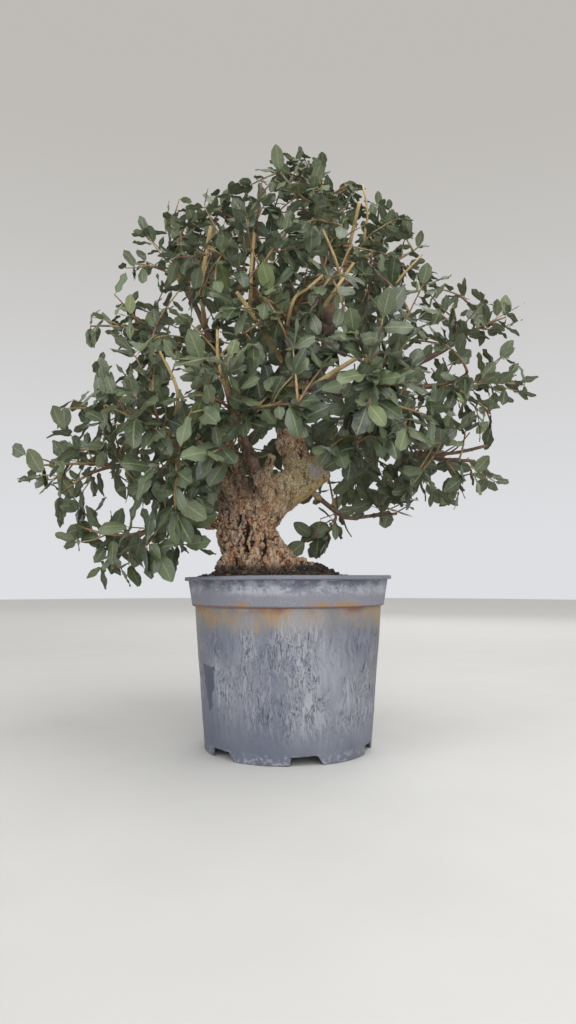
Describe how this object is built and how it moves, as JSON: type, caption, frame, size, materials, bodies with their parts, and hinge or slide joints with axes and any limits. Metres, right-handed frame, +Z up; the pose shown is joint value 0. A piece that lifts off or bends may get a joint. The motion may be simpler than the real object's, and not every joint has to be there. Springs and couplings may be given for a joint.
{
  "type": "cork oak bonsai in a growing pot",
  "caption": "Cork oak bonsai: a thick leaning corky trunk with a wide crown of leafy sprays, rooted in soil in a round tapered plastic pot with a collar and drain notches.",
  "frame": {"origin": "middle of the pot's foot, on the surface it stands on", "axes": "+Z up, -Y towards the side that is looked at first, +X to the right of it, the way the trunk leans"},
  "size_m": [0.567, 0.4587, 0.6501],
  "materials": {
    "pot_plastic": "weathered grey-blue moulded plastic, chalky and rust stained",
    "growing_mix": "moist dark bark and grit",
    "bark": "fissured corky bark",
    "leaf": "leathery evergreen leaf with a felted underside"
  },
  "bodies": {
    "root": {"pot": "pot_plastic", "soil": "growing_mix", "wood": "bark", "spray_left_low_1": "leaf", "spray_left_low_2": "leaf", "spray_left_low_3": "leaf", "spray_left_far_1": "leaf", "spray_left_far_2": "leaf", "spray_left_far_3": "leaf", "spray_left_mid_1": "leaf", "spray_left_mid_2": "leaf", "spray_left_mid_3": "leaf", "spray_left_up_1": "leaf", "spray_left_up_2": "leaf", "spray_left_high_1": "leaf", "spray_left_high_2": "leaf", "spray_left_high_3": "leaf", "spray_left_high_4": "leaf", "spray_front_left_1": "leaf", "spray_front_left_2": "leaf", "spray_front_left_3": "leaf", "spray_front_low_1": "leaf", "spray_front_low_2": "leaf", "spray_front_low_3": "leaf", "spray_front_right_1": "leaf", "spray_front_right_2": "leaf", "spray_front_right_3": "leaf", "spray_front_right_4": "leaf", "spray_front_crown_1": "leaf", "spray_front_crown_2": "leaf", "spray_front_high_1": "leaf", "spray_front_high_2": "leaf", "spray_front_top_1": "leaf", "spray_front_top_2": "leaf", "spray_leader_1": "leaf", "spray_leader_2": "leaf", "spray_right_high_1": "leaf", "spray_right_high_2": "leaf", "spray_right_up_1": "leaf", "spray_right_up_2": "leaf", "spray_right_mid_1": "leaf", "spray_right_mid_2": "leaf", "spray_right_mid_3": "leaf", "spray_right_mid_4": "leaf", "spray_right_low_1": "leaf", "spray_right_low_2": "leaf", "spray_right_low_3": "leaf", "spray_right_low_4": "leaf", "spray_low_twig_1": "leaf", "spray_low_twig_2": "leaf", "spray_back_left_1": "leaf", "spray_back_left_2": "leaf", "spray_back_left_3": "leaf", "spray_back_mid_1": "leaf", "spray_back_mid_2": "leaf", "spray_back_right_1": "leaf", "spray_back_right_2": "leaf", "spray_back_right_3": "leaf", "spray_back_top_1": "leaf", "spray_back_top_2": "leaf"}
  },
  "joints": []
}
